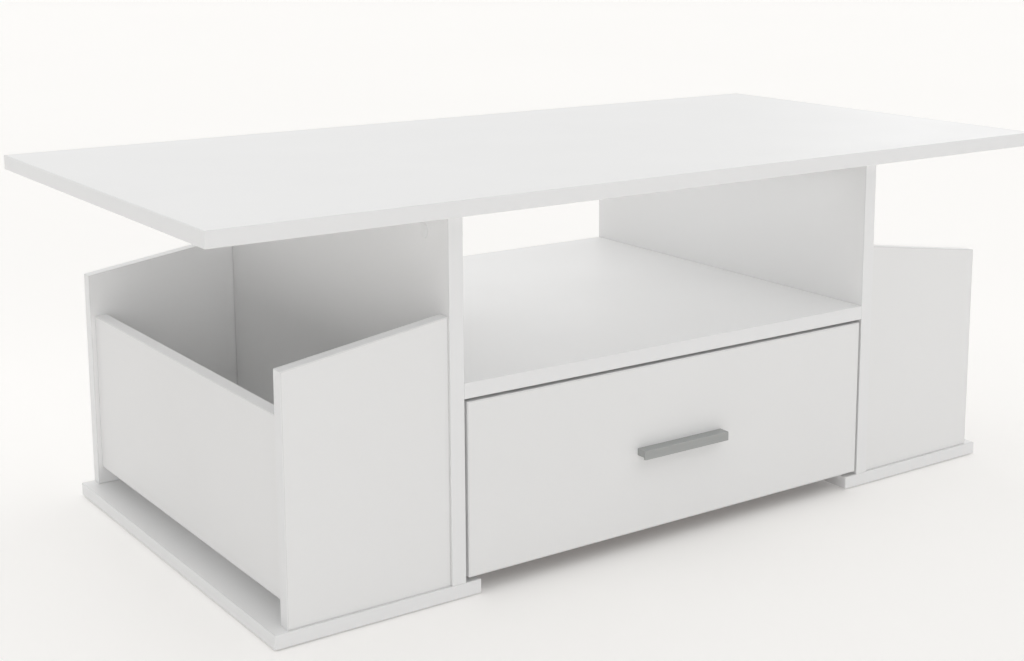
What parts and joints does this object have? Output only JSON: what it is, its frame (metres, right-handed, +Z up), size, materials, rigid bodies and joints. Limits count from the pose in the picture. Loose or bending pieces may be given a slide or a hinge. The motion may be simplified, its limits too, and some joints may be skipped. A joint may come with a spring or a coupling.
{
  "type": "coffee table with drawer",
  "caption": "Low rectangular table of white boards on two uprights, with an open shelf, a drawer under it and an open magazine rack at each end.",
  "frame": {"origin": "on the floor, under the middle of the top", "axes": "+X along the length to the right seen from the front, -Y out of the drawer's front, +Z up"},
  "size_m": [1.2, 0.6, 0.4475],
  "materials": {
    "white_board": "satin white melamine coating on particle board, fine soft texture, matching edging",
    "drawer_board": "white foil on thin particle board",
    "hardboard": "white lacquered hardboard, brown on the underside",
    "handle_metal": "satin grey",
    "zinc_casting": "dull cast zinc",
    "zinc_plated_steel": "zinc plated",
    "coated_steel": "white epoxy powder coating",
    "roller_plastic": "white nylon",
    "glide_plastic": "grey polyethylene",
    "cover_plastic": "white polyethylene",
    "beech": "raw fluted beech"
  },
  "bodies": {
    "carcass": {"tabletop": "white_board", "shelf": "white_board", "bay_back_panel": "white_board", "right_upright": "white_board", "left_upright": "white_board", "right_base_plate": "white_board", "left_base_plate": "white_board", "right_rack_front_panel": "white_board", "left_rack_front_panel": "white_board", "right_rack_rear_panel": "white_board", "left_rack_rear_panel": "white_board", "right_rack_end_panel": "white_board", "left_rack_end_panel": "white_board", "right_cabinet_runner": "coated_steel", "left_cabinet_runner": "coated_steel", "floor_glides": "glide_plastic", "top_cam_locks": "zinc_casting", "top_cam_covers": "cover_plastic", "top_cam_bolts": "zinc_plated_steel", "top_dowels": "beech", "shelf_cam_locks": "zinc_casting", "shelf_cam_bolts": "zinc_plated_steel", "shelf_dowels": "beech", "back_panel_cam_locks": "zinc_casting", "back_panel_cam_bolts": "zinc_plated_steel", "back_panel_dowels": "beech", "rack_cam_locks": "zinc_casting", "rack_cam_covers": "cover_plastic", "rack_cam_bolts": "zinc_plated_steel", "rack_dowels": "beech", "rack_screws": "zinc_plated_steel", "base_screws": "zinc_plated_steel", "cabinet_runner_screws": "zinc_plated_steel", "cabinet_roller_axles": "zinc_plated_steel"},
    "drawer": {"drawer_front": "white_board", "drawer_back": "drawer_board", "drawer_bottom": "hardboard", "right_drawer_side": "drawer_board", "left_drawer_side": "drawer_board", "right_drawer_runner": "coated_steel", "left_drawer_runner": "coated_steel", "handle": "handle_metal", "handle_screws": "zinc_plated_steel", "drawer_cam_locks": "zinc_casting", "drawer_cam_bolts": "zinc_plated_steel", "drawer_dowels": "beech", "drawer_back_screws": "zinc_plated_steel", "drawer_bottom_screws": "zinc_plated_steel", "drawer_runner_screws": "zinc_plated_steel", "drawer_roller_axles": "zinc_plated_steel"},
    "right_cabinet_roller": {"right_cabinet_roller": "roller_plastic"},
    "left_cabinet_roller": {"left_cabinet_roller": "roller_plastic"},
    "right_drawer_roller": {"right_drawer_roller": "roller_plastic"},
    "left_drawer_roller": {"left_drawer_roller": "roller_plastic"}
  },
  "joints": [
    {"name": "drawer_slide", "type": "slide", "parent": "carcass", "child": "drawer", "axis": [0, -1, 0], "range_m": [0, 0.37]},
    {"name": "right_cabinet_roller_spin", "type": "hinge", "parent": "carcass", "child": "right_cabinet_roller", "pos_m": [0.29625, -0.248, 0.0538], "axis": [1, 0, 0], "continuous": true},
    {"name": "right_drawer_roller_spin", "type": "hinge", "parent": "drawer", "child": "right_drawer_roller", "pos_m": [0.29425, 0.224, 0.0538], "axis": [1, 0, 0], "continuous": true},
    {"name": "left_cabinet_roller_spin", "type": "hinge", "parent": "carcass", "child": "left_cabinet_roller", "pos_m": [-0.29625, -0.248, 0.0538], "axis": [1, 0, 0], "continuous": true},
    {"name": "left_drawer_roller_spin", "type": "hinge", "parent": "drawer", "child": "left_drawer_roller", "pos_m": [-0.29425, 0.224, 0.0538], "axis": [1, 0, 0], "continuous": true}
  ],
  "couplings": [
    {"joint": "right_cabinet_roller_spin", "follows": "drawer_slide", "rad_per_m": 111.11},
    {"joint": "right_drawer_roller_spin", "follows": "drawer_slide", "rad_per_m": 111.11},
    {"joint": "left_cabinet_roller_spin", "follows": "drawer_slide", "rad_per_m": 111.11},
    {"joint": "left_drawer_roller_spin", "follows": "drawer_slide", "rad_per_m": 111.11}
  ]
}
